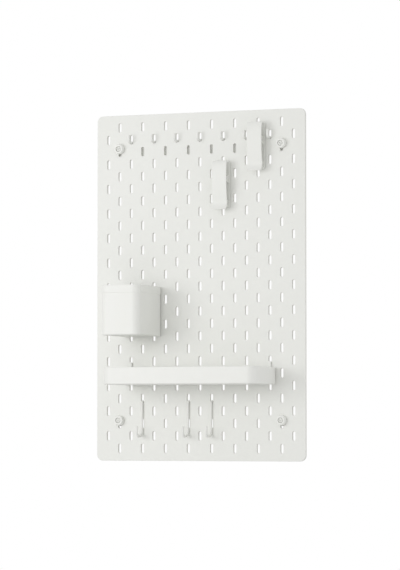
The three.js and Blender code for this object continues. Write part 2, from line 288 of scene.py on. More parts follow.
def studio_floor():
    """Pale matt paper with faint clouds."""
    s = Surface("studio_floor", specular=0.2)
    s.colour(s.blend(s.spread(s.noise(1.5, 2), 0.0, 1.0), (0.70, 0.70, 0.69), (0.73, 0.73, 0.72)))
    s.roughness(s.spread(s.noise(40, 3), 0.6, 0.75))
    return s.material


# ---------------------------------------------------------------- outlines and meshes


MERGE = 1e-7
SHARP = math.radians(38)
TURNED_END = 0.01 * MM  # how far from the axis a turned end closes


def filleted(corners, closed=False, arc_step=math.radians(12)):
    """Rounds [a, b, radius] corners of a line in a plane, and returns its points."""
    points = []
    count = len(corners)
    for i, corner in enumerate(corners):
        here = Vector(corner[:2])
        radius = corner[2] if len(corner) > 2 else 0.0
        if radius <= 0 or (not closed and i in (0, count - 1)):
            points.append(here)
            continue
        back = (Vector(corners[i - 1][:2]) - here).normalized()
        ahead = (Vector(corners[(i + 1) % count][:2]) - here).normalized()
        half = math.acos(max(-1.0, min(1.0, back.dot(ahead)))) / 2
        centre = here + (back + ahead).normalized() * (radius / math.sin(half))
        start = here + back * (radius / math.tan(half)) - centre
        sweep = math.pi - 2 * half
        if back.x * ahead.y - back.y * ahead.x > 0:
            sweep = -sweep
        steps = max(2, math.ceil(abs(sweep) / arc_step))
        for step in range(steps + 1):
            turn = Matrix.Rotation(sweep * step / steps, 2)
            points.append(centre + turn @ start)
    return points


def new_mesh(name, vertices, faces):
    """A closed mesh with its faces turned outwards."""
    mesh = bpy.data.meshes.new(name)
    mesh.from_pydata([tuple(v) for v in vertices], [], faces)
    tidy_mesh(mesh)
    return mesh


def tidy_mesh(mesh, merge=MERGE):
    """Joins points that coincide, turns the faces outwards and shades them smooth up to sharp edges."""
    shape = bmesh.new()
    shape.from_mesh(mesh)
    bmesh.ops.remove_doubles(shape, verts=shape.verts, dist=merge)
    bmesh.ops.dissolve_degenerate(shape, dist=merge, edges=shape.edges)
    bmesh.ops.recalc_face_normals(shape, faces=shape.faces)
    shape.to_mesh(mesh)
    shape.free()
    mesh.shade_smooth()
    mesh.set_sharp_from_angle(angle=SHARP)


def lofted(rings, closed=False):
    """A skin's vertices and faces through rings of equally many points, with flat ends or joined round."""
    count = len(rings[0])
    vertices = [point for ring in rings for point in ring]
    faces = []
    for r in range(len(rings) if closed else len(rings) - 1):
        low = r * count
        high = ((r + 1) % len(rings)) * count
        for i in range(count):
            j = (i + 1) % count
            faces.append((low + i, low + j, high + j, high + i))
    if not closed:
        faces.append(tuple(reversed(range(count))))
        faces.append(tuple(range(len(vertices) - count, len(vertices))))
    return vertices, faces


def turned_mesh(name, profile, sides, closed=False, shape_radius=None):
    """A (radius, y) profile spun about Y; shape_radius(radius, y, angle) may vary it round the turn."""
    rings = []
    for radius, y in profile:
        ring = []
        for i in range(sides):
            angle = 2 * math.pi * i / sides
            here = shape_radius(radius, y, angle) if shape_radius else radius
            ring.append(Vector((here * math.cos(angle), y, here * math.sin(angle))))
        rings.append(ring)
    return new_mesh(name, *lofted(rings, closed))


def tube_mesh(name, line, radius, sides):
    """A round wire along a line, with domed ends."""
    line, radii = with_domes([Vector(p) for p in line], radius)
    ahead = tangents(line)
    side = ahead[0].orthogonal().normalized()
    rings = []
    for i, point in enumerate(line):
        if i:
            side = (ahead[i - 1].rotation_difference(ahead[i]) @ side).normalized()
        other = ahead[i].cross(side)
        ring = []
        for k in range(sides):
            angle = 2 * math.pi * k / sides
            ring.append(point + (side * math.cos(angle) + other * math.sin(angle)) * radii[i])
        rings.append(ring)
    return new_mesh(name, *lofted(rings))


def tangents(line):
    """The way ahead at each point of a line, from its neighbours."""
    last = len(line) - 1
    return [(line[min(i + 1, last)] - line[max(i - 1, 0)]).normalized() for i in range(last + 1)]


def with_domes(line, radius, steps=5):
    """The line and its radii, with each end rounded within its own length."""
    first = (line[1] - line[0]).normalized()
    last = (line[-1] - line[-2]).normalized()
    start, end, radii = [], [], []
    for step in range(steps):
        angle = math.pi / 2 * (step + 0.25) / steps
        inward = radius * (1 - math.sin(angle))
        start.append(line[0] + first * inward)
        end.append(line[-1] - last * inward)
        radii.append(radius * math.cos(math.pi / 2 - angle))
    return start + line[1:-1] + end[::-1], radii + [radius] * (len(line) - 2) + radii[::-1]


def prism_mesh(name, outline, low, high, to_space, bevel, segments=3):
    """An outline drawn in a plane, carried from low to high, with its rims rounded."""
    rings = [[Vector(to_space(p.x, p.y, level)) for p in outline] for level in (low, high)]
    mesh = new_mesh(name, *lofted(rings))
    shape = bmesh.new()
    shape.from_mesh(mesh)
    caps = sorted(shape.faces, key=lambda f: len(f.verts))[-2:]
    rims = {edge for cap in caps for edge in cap.edges}
    bmesh.ops.bevel(
        shape, geom=list(rims), offset=bevel, segments=segments,
        profile=0.5, affect="EDGES", clamp_overlap=True,
    )
    shape.to_mesh(mesh)
    shape.free()
    tidy_mesh(mesh)
    return mesh


def side_plane(y, z, x):
    """An outline drawn as seen from the side, in Y and Z."""
    return (x, y, z)


def face_plane(x, z, y):
    """An outline drawn as seen from the front, in X and Z."""
    return (x, y, z)


def combined(name, first, others, operation="UNION"):
    """Joins or cuts meshes exactly, and returns the result as one mesh."""
    base = bpy.data.objects.new(name + "_base", first)
    bpy.context.scene.collection.objects.link(base)
    tools = []
    for other in others:
        tool = bpy.data.objects.new(name + "_tool", other)
        bpy.context.scene.collection.objects.link(tool)
        tools.append(tool)
        step = base.modifiers.new("join", "BOOLEAN")
        step.operation = operation
        step.solver = "EXACT"
        step.object = tool
    made = bpy.data.meshes.new_from_object(base.evaluated_get(bpy.context.evaluated_depsgraph_get()))
    made.name = name
    for thing in [base, *tools]:
        bpy.data.objects.remove(thing)
    tidy_mesh(made, 2e-6)
    return made


def add_piece(name, mesh, materials, body, replaces=(), place=(0, 0, 0)):
    """Puts a mesh in the scene as a piece of the object that rides on one body."""
    piece = bpy.data.objects.new(name, mesh)
    bpy.context.scene.collection.objects.link(piece)
    piece.location = place
    if not mesh.materials:
        for material in materials:
            mesh.materials.append(material)
    shading = piece.modifiers.new("flat_faces_stay_flat", "WEIGHTED_NORMAL")
    shading.keep_sharp = True
    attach(piece, body)
    if replaces:
        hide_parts(*replaces)
    return piece


# ---------------------------------------------------------------- board

SLOT_RADIUS = 2.5 * MM
SLOT_STRAIGHT = 5.0 * MM
SLOT_ARC_STEPS = 12
PITCH_X = 40 * MM
PITCH_Z = 20 * MM
SLOT_ROWS = 27
BOARD_CORNER = 10 * MM
BOARD_EDGE_ROUND = 0.7 * MM
SLOT_EDGE_ROUND = 0.45 * MM
ROUND_STEPS = 3
CELL_ALONG = 10  # steps along a slot's cell of the board, and up it
CELL_UP = 4
CORNER_STEPS = 10


def slot_row_z(row):
    """The height of a row's slot centres; row 1 is at the top."""
    return BOARD_HIGH.z - row * PITCH_Z


def slot_row_xs(row):
    count = 8 if row % 2 else 9
    return [(place - (count - 1) / 2) * PITCH_X for place in range(count)]


def slot_ring(x, z, radius):
    """Points round a slot from the middle of its right side, anticlockwise."""
    ring = [(x + radius, z)]
    for step in range(SLOT_ARC_STEPS + 1):
        angle = math.pi * step / SLOT_ARC_STEPS
        ring.append((x + radius * math.cos(angle), z + SLOT_STRAIGHT + radius * math.sin(angle)))
    ring.append((x - radius, z))
    for step in range(SLOT_ARC_STEPS + 1):
        angle = math.pi + math.pi * step / SLOT_ARC_STEPS
        ring.append((x + radius * math.cos(angle), z - SLOT_STRAIGHT + radius * math.sin(angle)))
    return ring


def cell_ring(x, z):
    """As many points round the slot's own cell of the board, from the same start."""
    half_x, half_z = PITCH_X / 2, PITCH_Z / 2
    ring = [(x + half_x, z + half_z * k / 2) for k in (0, 1)]
    ring += [(x + half_x - PITCH_X * k / CELL_ALONG, z + half_z) for k in range(CELL_ALONG)]
    ring += [(x - half_x, z + half_z - half_z * k / 2) for k in range(CELL_UP)]
    ring += [(x - half_x + PITCH_X * k / CELL_ALONG, z - half_z) for k in range(CELL_ALONG)]
    ring += [(x + half_x, z - half_z + half_z * k / 2) for k in (0, 1)]
    return ring


class BoardSkin:
    """Collects the board's faces; points of the two flat skins are shared wherever cells meet."""

    def __init__(self):
        self.vertices = []
        self.faces = []
        self.cut_faces = []
        self.shared = {}
        self.levels = (BOARD_FRONT, BOARD_BACK)

    def skin_point(self, x, z, side):
        limit_x = BOARD_HIGH.x - BOARD_EDGE_ROUND
        limit_z = BOARD_HIGH.z - BOARD_EDGE_ROUND
        x = max(-limit_x, min(limit_x, x))
        z = max(-limit_z, min(limit_z, z))
        key = (round(x * 1e6), round(z * 1e6), side)
        if key not in self.shared:
            self.shared[key] = len(self.vertices)
            self.vertices.append((x, self.levels[side], z))
        return self.shared[key]

    def skin_face(self, points):
        self.faces.append([self.skin_point(x, z, 0) for x, z in points])
        self.faces.append([self.skin_point(x, z, 1) for x, z in reversed(points)])

    def wall(self, loop, rounding, ring_at):
        """Joins the two skins along a loop through a rounded front edge, the cut and a rounded back edge."""
        rows = []
        for side, inward in ((0, 1), (1, -1)):
            half = []
            for step in range(1, ROUND_STEPS + 1):
                angle = math.pi / 2 * step / ROUND_STEPS
                level = self.levels[side] + inward * rounding * (1 - math.cos(angle))
                half.append([(x, level, z) for x, z in ring_at(rounding * (1 - math.sin(angle)))])
            rows.append(half)
        indexed = [[self.skin_point(x, z, 0) for x, z in loop]]
        for ring in rows[0] + rows[1][::-1]:
            first = len(self.vertices)
            self.vertices.extend(ring)
            indexed.append(list(range(first, first + len(ring))))
        indexed.append([self.skin_point(x, z, 1) for x, z in loop])
        for k in range(len(indexed) - 1):
            for i in range(len(loop)):
                j = (i + 1) % len(loop)
                if k == ROUND_STEPS:
                    self.cut_faces.append(len(self.faces))
                self.faces.append([indexed[k][i], indexed[k][j], indexed[k + 1][j], indexed[k + 1][i]])


def board_perimeter():
    """(x, z, normal x, normal z) round the board, at the inner limit of its rounded edge, anticlockwise."""
    right = BOARD_HIGH.x - BOARD_EDGE_ROUND
    top = BOARD_HIGH.z - BOARD_EDGE_ROUND
    margin = BOARD_HIGH.z - PITCH_Z / 2
    straight = BOARD_HIGH.x - 3 * PITCH_X / CELL_ALONG
    corner_x = BOARD_HIGH.x - BOARD_CORNER
    radius = BOARD_CORNER - BOARD_EDGE_ROUND
    side_steps = round(margin / (PITCH_Z / CELL_UP))
    quarter = [(right, k * PITCH_Z / CELL_UP, 1, 0) for k in range(side_steps)]
    for step in range(CORNER_STEPS + 1):
        angle = math.pi / 2 * step / CORNER_STEPS
        across, up = math.cos(angle), math.sin(angle)
        quarter.append((corner_x + radius * across, margin + radius * up, across, up))
    top_steps = round(straight / (PITCH_X / CELL_ALONG))
    quarter += [(straight - k * PITCH_X / CELL_ALONG, top, 0, 1) for k in range(top_steps)]
    half = quarter + [(0.0, top, 0, 1)] + [(-x, z, -nx, nz) for x, z, nx, nz in reversed(quarter[1:])]
    return half + [(-x, -z, -nx, -nz) for x, z, nx, nz in half]


def board_mesh():
    skin = BoardSkin()
    slot_edge = SLOT_RADIUS + SLOT_EDGE_ROUND
    for row in range(1, SLOT_ROWS + 1):
        z = slot_row_z(row)
        for x in slot_row_xs(row):
            inner, outer = slot_ring(x, z, slot_edge), cell_ring(x, z)
            for i in range(len(inner)):
                j = (i + 1) % len(inner)
                skin.skin_face([inner[i], inner[j], outer[j], outer[i]])
            skin.wall(inner, SLOT_EDGE_ROUND, lambda out, x=x, z=z: slot_ring(x, z, SLOT_RADIUS + out))
        if row % 2:
            add_row_ends(skin, z)
    add_board_margins(skin)
    perimeter = board_perimeter()

    def edge_ring(out):
        grown = BOARD_EDGE_ROUND - out
        return [(x + nx * grown, z + nz * grown) for x, z, nx, nz in perimeter]

    skin.wall([(x, z) for x, z, nx, nz in perimeter], BOARD_EDGE_ROUND, edge_ring)
    mesh = bpy.data.meshes.new("pegboard")
    mesh.from_pydata(skin.vertices, [], skin.faces)
    cut = set(skin.cut_faces)
    for face in mesh.polygons:
        face.material_index = 1 if face.index in cut else 0
    tidy_mesh(mesh, 1e-8)
    return mesh


def add_row_ends(skin, z):
    """The odd rows have one slot fewer, and plain board at both ends."""
    step_x, step_z = PITCH_X / CELL_ALONG, PITCH_Z / CELL_UP
    for side in (-1, 1):
        for i in range(CELL_ALONG // 2):
            for j in range(CELL_UP):
                x = side * (BOARD_HIGH.x - i * step_x)
                inner = x - side * step_x
                low = z - PITCH_Z / 2 + j * step_z
                points = [(x, low), (x, low + step_z), (inner, low + step_z), (inner, low)]
                skin.skin_face(points if side > 0 else points[::-1])


def add_board_margins(skin):
    """The strips above the first row and below the last, with the board's round corners."""
    step = PITCH_X / CELL_ALONG
    margin = BOARD_HIGH.z - PITCH_Z / 2
    straight = BOARD_HIGH.x - 3 * step
    columns = round(2 * straight / step)
    top = BOARD_HIGH.z
    radius = BOARD_CORNER - BOARD_EDGE_ROUND
    corner_x = BOARD_HIGH.x - BOARD_CORNER
    corner = []
    for k in range(CORNER_STEPS + 1):
        angle = math.pi / 2 * k / CORNER_STEPS
        corner.append((corner_x + radius * math.cos(angle), margin + radius * math.sin(angle)))
    corner.append((straight, top))
    corner += [(straight + k * step, margin) for k in range(3)]
    for up in (1, -1):
        for k in range(columns):
            x = -straight + k * step
            points = [(x, up * margin), (x + step, up * margin), (x + step, up * top), (x, up * top)]
            skin.skin_face(points if up > 0 else points[::-1])
        for side in (1, -1):
            points = [(side * x, up * z) for x, z in corner]
            skin.skin_face(points if side * up > 0 else points[::-1])


# ---------------------------------------------------------------- wall mounts

MOUNT_NUMBERS = (1, 2, 3, 4)
UPPER_MOUNTS = (1, 2)
UPPER_NECK, LOWER_NECK = 11.2 * MM, 9.0 * MM
BORE = 2.35 * MM
RECESS_DEPTH = 2.9 * MM
SPACER_FOOT, SPACER_WAIST = 10.0 * MM, 7.2 * MM
SPACER_RIBS, SPACER_RIB_RISE = 8, 1.2 * MM
TURN_SIDES = 48
HEAD_THICK = 2.8 * MM
THREAD_OUTER, THREAD_CORE, THREAD_PITCH = 1.98 * MM, 1.35 * MM, 1.8 * MM
THREAD_BELOW_HEAD, THREAD_POINT = 6.0 * MM, 5.0 * MM
THREAD_CREST = 0.22  # half a crest's width, as a share of the pitch
THREAD_STEPS = 10
CROSS_HALF_LONG, CROSS_HALF_WIDE = 1.9 * MM, 0.38 * MM


def collar_mesh():
    """A round collar with a tapered front edge and a recess for the screw's head."""
    low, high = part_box("mount_collar_1")
    radius = (high.x - low.x) / 2
    front, back = low.y, high.y
    floor = front + RECESS_DEPTH
    profile = filleted([
        (BORE, back), (radius, back, 0.3 * MM), (radius, front + 2.4 * MM, 1.0 * MM),
        (radius - 1.0 * MM, front, 0.8 * MM), (4.4 * MM, front, 0.3 * MM),
        (4.25 * MM, floor, 0.2 * MM), (BORE, floor, 0.2 * MM),
    ], closed=True)
    return turned_mesh("mount_collar", [(p.x, p.y) for p in profile], TURN_SIDES, closed=True)


def spacer_mesh(neck):
    """A ribbed spool with a foot on the wall and a neck behind the board."""
    low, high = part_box("wall_spacer_1")
    front, back = low.y, high.y
    profile = filleted([
        (BORE, front), (neck, front, 0.4 * MM), (neck, front + 2.5 * MM, 0.4 * MM),
        (SPACER_WAIST, front + 3.2 * MM, 0.8 * MM), (SPACER_WAIST, back - 3.8 * MM, 0.8 * MM),
        (SPACER_FOOT, back - 3.0 * MM, 0.4 * MM), (SPACER_FOOT, back, 0.4 * MM), (BORE, back, 0.2 * MM),
    ], closed=True)
    spool = [(p.x, p.y) for p in profile]
    return turned_mesh("wall_spacer", spool, 4 * TURN_SIDES, closed=True, shape_radius=ribbed)


def ribbed(radius, y, angle):
    """Upright ribs stiffen the waist between the foot and the neck."""
    if not BORE + 1.0 * MM <= radius <= SPACER_WAIST + 0.2 * MM:
        return radius
    return radius + SPACER_RIB_RISE * max(0.0, math.cos(SPACER_RIBS * angle)) ** 6


def screw_mesh():
    """A pan-head wood screw with a cross recess and a rolled thread that runs out at the point."""
    low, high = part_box("wall_screw_1")
    head = (high.x - low.x) / 2
    crown, tip = low.y, high.y
    seat = crown + HEAD_THICK
    thread_start = seat + THREAD_BELOW_HEAD
    profile = [(p.x, p.y) for p in filleted([
        (TURNED_END, crown), (0.62 * head, crown, 1.6 * MM), (head, seat - 0.9 * MM, 0.5 * MM),
        (head, seat, 0.15 * MM), (THREAD_OUTER, seat, 0.3 * MM), (THREAD_OUTER, thread_start),
    ])]
    y = thread_start
    while y < tip - 0.2 * MM:
        y += THREAD_PITCH / THREAD_STEPS
        profile.append((THREAD_OUTER, y))
    profile.append((TURNED_END, tip))

    def threaded(radius, y, angle):
        """The crest winds round the core, grows within the first turn and shrinks towards the point."""
        if y <= thread_start:
            return radius
        rise = THREAD_OUTER - THREAD_CORE
        taper = min(1.0, max(0.02, (tip - y) / THREAD_POINT))
        turn = (y / THREAD_PITCH - angle / (2 * math.pi)) % 1.0
        crest = max(0.0, 1.0 - abs(turn - 0.5) / THREAD_CREST)
        fade = min(1.0, (y - thread_start) / THREAD_PITCH)
        core = THREAD_CORE * taper + (1 - fade) * rise
        return min(THREAD_OUTER, core + fade * crest * rise * min(1.0, 1.6 * taper))

    blank = turned_mesh("wall_screw", profile, 32, shape_radius=threaded)
    recess = [cross_arm(crown, turn) for turn in (0.0, math.pi / 2)]
    screw = combined("wall_screw", blank, recess, "DIFFERENCE")
    for face in screw.polygons:
        face.material_index = 0 if face.center.y < seat else 1
    return screw


def cross_arm(crown, turn):
    """One tapering arm of the driver's cross, cut down from the crown."""
    above, depth = 0.4 * MM, 1.5 * MM
    spin = Matrix.Rotation(turn + math.pi / 4, 4, "Y")
    rings = []
    for level, share in ((-above, 1.12), (depth, 0.45)):
        a, b = CROSS_HALF_LONG * share, CROSS_HALF_WIDE * (0.6 + 0.4 * share)
        corners = ((a, b), (-a, b), (-a, -b), (a, -b))
        rings.append([spin @ Vector((x, crown + level, z)) for x, z in corners])
    return new_mesh("cross_arm", *lofted(rings))


def add_mounts(plastic, steel, zinc):
    """Collars and spacers of moulded plastic, and screws with lacquered heads on bright threads."""
    collar, screw = collar_mesh(), screw_mesh()
    upper_spacer, lower_spacer = spacer_mesh(UPPER_NECK), spacer_mesh(LOWER_NECK)
    for number in MOUNT_NUMBERS:
        spacer = upper_spacer if number in UPPER_MOUNTS else lower_spacer
        low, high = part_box(f"mount_collar_{number}")
        place = ((low.x + high.x) / 2, 0, (low.z + high.z) / 2)
        for word, mesh, materials, slot in (
            ("mount_collar", collar, [plastic], "white_plastic"),
            ("wall_spacer", spacer, [plastic], "white_plastic"),
            ("wall_screw", screw, [steel, zinc], "white_steel"),
        ):
            node = f"{word}_{number}"
            add_piece(f"fine_{node}", mesh, materials, "board", [node], place)


# ---------------------------------------------------------------- wires

WIRE_RADIUS = 2.0 * MM
WIRE_SIDES = 20
WIRE_BEND = 2.5 * MM
RAIL_BEND = 3.5 * MM
RAIL_NECK_BELOW_TIP = 12.0 * MM
RAIL_CORNER = 4.0 * MM
RAIL_HOOKS = 7
WELD_HEIGHTS = (4.5 * MM, 12.5 * MM)  # above the foot of a wire
WELD_RADIUS, WELD_ASIDE, WELD_PROUD = 0.7 * MM, 1.75 * MM, 0.35 * MM
WELD_POINTS, WELD_STEP, WELD_WOBBLE = 9, 0.6 * MM, 0.12 * MM
PEG_HOOKS = 3
PEG_LIP_DROP = 11.0 * MM
PEG_THROAT = 20.5 * MM
PEG_BEND = 8.0 * MM
PEG_TIP_TOP = BOARD_LOW.z + 56.0 * MM


def wire_in_plane(name, x, corners):
    """A bent wire whose corners are given in Y and Z, each with its bend's radius."""
    line = [(x, p.x, p.y) for p in filleted(corners, arc_step=math.radians(9))]
    return tube_mesh(name, line, WIRE_RADIUS, WIRE_SIDES)


def rounded_box(left, right, bottom, top, corner):
    """A rectangle's outline with equally rounded corners."""
    corners = ((left, bottom), (right, bottom), (right, top), (left, top))
    return filleted([(*place, corner) for place in corners], closed=True)


def add_hook_rail(steel):
    """The strip behind the board, and the wires welded to it that come through the slots."""
    low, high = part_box("hook_rail_strip")
    outline = rounded_box(low.x, high.x, low.z, high.z, RAIL_CORNER)
    strip = prism_mesh("rail_strip", outline, low.y, high.y, face_plane, bevel=0.45 * MM)
    add_piece("fine_hook_rail_strip", strip, [steel], "hook_rail", ["hook_rail_strip"])
    for number in range(1, RAIL_HOOKS + 1):
        node = f"rail_hook_{number}"
        low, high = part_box(node)
        x = (low.x + high.x) / 2
        wire_y, tip_y = high.y - WIRE_RADIUS, low.y + WIRE_RADIUS
        neck = high.z - RAIL_NECK_BELOW_TIP
        hook = wire_in_plane(node, x, [
            (wire_y, low.z), (wire_y, neck, WIRE_BEND), (tip_y, neck, RAIL_BEND), (tip_y, high.z),
        ])
        add_piece(f"fine_{node}", hook, [steel], "hook_rail", [node])
        add_welds(x, wire_y, low.z, steel, number)


def add_welds(x, wire_y, foot, steel, number):
    """Two short weld beads on each side tie a wire to the strip behind the board."""
    strip_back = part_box("hook_rail_strip")[1].y
    beads = []
    for height in WELD_HEIGHTS:
        for side in (-1, 1):
            line = []
            for k in range(WELD_POINTS):
                wobble = WELD_WOBBLE * math.sin(2.4 * k + 3.1 * height / MM + side)
                along = foot + height + (k - WELD_POINTS // 2) * WELD_STEP
                line.append((x + side * WELD_ASIDE + wobble, strip_back + WELD_PROUD, along))
            beads.append(tube_mesh("bead", line, WELD_RADIUS, 10))
    whole = combined("rail_welds", beads[0], beads[1:])
    add_piece(f"rail_welds_{number}", whole, [steel], "hook_rail")


def add_peg_hooks(steel):
    """Wire hooks that hang in one slot each by a bent end."""
    for number in range(1, PEG_HOOKS + 1):
        node = f"peg_hook_{number}"
        low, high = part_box(node)
        x = (low.x + high.x) / 2
        lip_y, tip_y = high.y - WIRE_RADIUS, low.y + WIRE_RADIUS
        neck, bottom = high.z - WIRE_RADIUS, low.z + WIRE_RADIUS
        shank_y = tip_y + PEG_THROAT
        hook = wire_in_plane(node, x, [
            (lip_y, neck - PEG_LIP_DROP), (lip_y, neck, WIRE_BEND), (shank_y, neck, WIRE_BEND),
            (shank_y, bottom, PEG_BEND), (tip_y, bottom, PEG_BEND), (tip_y, PEG_TIP_TOP),
        ])
        add_piece(f"fine_{node}", hook, [steel], f"wire_hook_{number}", [node])


# ---------------------------------------------------------------- cup and tray

CORNER_ARC_STEPS = 14
FRONT_CORNERS = {"cup": 12 * MM, "tray": 14 * MM}
REAR_CORNER = 4 * MM
SMALLEST_CORNER = 0.3 * MM
TAB_HALF_WIDTH, TAB_CLEARANCE, TAB_LIP, TAB_DROP = 2.0 * MM, 0.3 * MM, 3.0 * MM, 6.8 * MM
TAB_NECK = (-5.5 * MM, -1.9 * MM)  # the neck's foot and top from the slot's centre
TAB_ROOT = 1.2 * MM  # how far a tab's root runs into what it carries
CUP_ROW, CUP_TAB_XS, CUP_STAND_OFF = 14, (-120 * MM, -80 * MM), 1.5 * MM
CUP_WALL, CUP_RIM, CUP_RIM_PROUD = 2.0 * MM, 12.5 * MM, 0.45 * MM
TRAY_ROW, TRAY_TAB_XS, TRAY_STAND_OFF = 20, (-120 * MM, 120 * MM), 1.0 * MM
TRAY_TOP_BELOW_SLOT = 10.7 * MM


def box_ring(low, high, front_radius, back_radius, inset, z):
    """A rounded rectangle in X and Y, pulled in by inset, always with as many points."""
    ring = []
    left, right = low.x + inset, high.x - inset
    front, back = low.y + inset, high.y - inset
    front_r = max(front_radius - inset, SMALLEST_CORNER)
    back_r = max(back_radius - inset, SMALLEST_CORNER)
    corners = (
        (right - front_r, front + front_r, front_r, -90), (right - back_r, back - back_r, back_r, 0),
        (left + back_r, back - back_r, back_r, 90), (left + front_r, front + front_r, front_r, 180),
    )
    for x, y, radius, start in corners:
        for step in range(CORNER_ARC_STEPS + 1):
            angle = math.radians(start + 90 * step / CORNER_ARC_STEPS)
            ring.append(Vector((x + radius * math.cos(angle), y + radius * math.sin(angle), z)))
    return ring


def vessel_mesh(name, low, high, front_radius, section):
    """An open box. Its section runs from under the floor, up the wall, over the rim and down inside."""
    rings = [box_ring(low, high, front_radius, REAR_CORNER, p.x, p.y) for p in section]
    return new_mesh(name, *lofted(rings))


def tab_mesh(slot_z, x, from_y, root_drop=0.0):
    """The flat hook that passes through a slot and turns down behind the board."""
    neck_low, neck_high = (slot_z + up for up in TAB_NECK)
    lip_front = BOARD_BACK + TAB_CLEARANCE
    lip_back = lip_front + TAB_LIP
    foot = neck_low - TAB_DROP
    outline = filleted([
        (from_y, neck_low - root_drop), (BOARD_FRONT - TAB_CLEARANCE, neck_low, 0.3 * MM),
        (lip_front, neck_low, 0.15 * MM), (lip_front, foot, 0.5 * MM), (lip_back, foot, 1.1 * MM),
        (lip_back, neck_high, 1.4 * MM), (from_y, neck_high),
    ], closed=True)
    left, right = x - TAB_HALF_WIDTH, x + TAB_HALF_WIDTH
    return prism_mesh("tab", outline, left, right, side_plane, bevel=0.35 * MM)


def vessel_box(node, rear):
    """The CAD node's box without the tabs and ears that reach back and up from it."""
    low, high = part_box(node)
    return low, Vector((high.x, rear, high.z))


def add_cup(plastic):
    """An open moulded cup with a band round its rim that stands a little proud."""
    rear = BOARD_FRONT - CUP_STAND_OFF
    low, high = vessel_box("container_cup", rear)
    top, bottom = high.z, low.z
    band = top - CUP_RIM
    section = filleted([
        (14 * MM, bottom + 0.6 * MM), (12.8 * MM, bottom, 0.3 * MM), (CUP_RIM_PROUD, bottom, 2.6 * MM),
        (CUP_RIM_PROUD, band, 0.3 * MM), (0.0, band + 0.35 * MM, 0.3 * MM), (0.0, top, 0.95 * MM),
        (CUP_WALL, top, 0.95 * MM), (CUP_WALL, bottom + CUP_WALL, 2.2 * MM), (14 * MM, bottom + CUP_WALL),
    ])
    cup = vessel_mesh("container_cup", low, high, FRONT_CORNERS["cup"], section)
    slot_z = slot_row_z(CUP_ROW)
    tabs = [tab_mesh(slot_z, x, rear - TAB_ROOT, root_drop=1.0 * MM) for x in CUP_TAB_XS]
    whole = combined("container_cup", cup, tabs)
    add_piece("fine_container_cup", whole, [plastic], "cup", ["container_cup"])


def ear_mesh(x, low_z, high_z, front, back):
    """A strap that rises from the rear wall to carry a tab, spreading where it leaves the wall."""
    half, spread, rise = 2.5 * MM, 3.0 * MM, 3.6 * MM
    outline = filleted([
        (x - half - spread, low_z), (x + half + spread, low_z), (x + half, low_z + rise, 2.6 * MM),
        (x + half, high_z, 1.8 * MM), (x - half, high_z, 1.8 * MM), (x - half, low_z + rise, 2.6 * MM),
    ], closed=True)
    return prism_mesh("ear", outline, front, back, face_plane, bevel=0.4 * MM)


def add_tray(steel):
    """A sheet steel tray with a hem turned down inside its rim, and an ear and a tab near each end."""
    rear = BOARD_FRONT - TRAY_STAND_OFF
    low, high = vessel_box("shelf_tray", rear)
    slot_z = slot_row_z(TRAY_ROW)
    top, bottom = slot_z - TRAY_TOP_BELOW_SLOT, low.z
    sheet, hem, hem_drop = 1.5 * MM, 2.7 * MM, 5.0 * MM
    section = filleted([
        (20 * MM, bottom), (0.0, bottom, 2.2 * MM), (0.0, top, 1.2 * MM), (hem, top, 1.2 * MM),
        (hem, top - hem_drop, 0.5 * MM), (sheet, top - hem_drop, 0.15 * MM),
        (sheet, bottom + sheet, 1.4 * MM), (20 * MM, bottom + sheet),
    ])
    tray = vessel_mesh("shelf_tray", low, high, FRONT_CORNERS["tray"], section)
    joined = []
    for x in TRAY_TAB_XS:
        joined.append(ear_mesh(x, top - 2.5 * MM, slot_z - 1.0 * MM, rear - 2.0 * MM, rear))
        joined.append(tab_mesh(slot_z, x, rear - TAB_ROOT))
    whole = combined("shelf_tray", tray, joined)
    add_piece("fine_shelf_tray", whole, [steel], "tray", ["shelf_tray"])


# ---------------------------------------------------------------- clips

CLIP_ROWS = (("a", 4), ("b", 1))
CLIP_PIVOT_Y = -29 * MM
CLIP_PIVOT_DROP = 29 * MM
PIN_RADIUS, PIN_HOLE = 1.5 * MM, 1.6 * MM
PLATE_STAND_OFF = 0.5 * MM
PLATE_THICK = 2.5 * MM
PLATE_FRONT = BOARD_FRONT - PLATE_STAND_OFF - PLATE_THICK
LEVER_THICK = 2.0 * MM
LEVER_EDGE = 0.7 * MM
LEVER_TOP_CORNER = 5.0 * MM
LEVER_TIP_CORNER = 3.5 * MM
PLATE_TOP, PLATE_BOTTOM, PLATE_CORNER = -1 * MM, -75 * MM, 3 * MM
# The lever's middle line from the thumb end to the flared tip: millimetres in Y, and up from the slot.
LEVER_LINE = (
    (-31.6, -0.8), (-34.8, -3), (-37, -9), (-37.6, -20), (-37.5, -34), (-37, -46),
    (-35.9, -56), (-34.6, -64), (-34.3, -68.6), (-35.3, -72.6), (-37.4, -76), (-39.6, -78.6),
)
# A lug's side in the same units, with the radius of each corner.
LUG = (
    (-37, -20, 0), (-37, -38, 0), (-29, -32.4, 2.0),
    (-25.6, -32.4, 3.2), (-25.6, -25.6, 3.2), (-29, -25.6, 2.0),
)
LUG_OUTSIDE, LUG_THICK = 8.0 * MM, 1.8 * MM
JAW_FOOT, JAW_TIP, JAW_TOP, JAW_BOTTOM = -34.4 * MM, -23.3 * MM, -61 * MM, -70 * MM
JAW_SLANT, JAW_INSET = 3.0 * MM, 2.5 * MM
EAR_OUTSIDE, EAR_THICK = 10.3 * MM, 2.0 * MM
EAR_HALF_FOOT, EAR_HALF_TIP, EAR_PAST_PIN = 7.4 * MM, 3.0 * MM, 3.0 * MM
COIL_RADIUS, COIL_WIRE, COIL_HALF_WIDTH = 2.6 * MM, 0.42 * MM, 3.0 * MM
COIL_TURNS, COIL_STEPS = 3.5, 28
COIL_LEG_UP, COIL_LEG_REAR, COIL_LEG_FRONT = 6.0 * MM, -23.8 * MM, -34.4 * MM


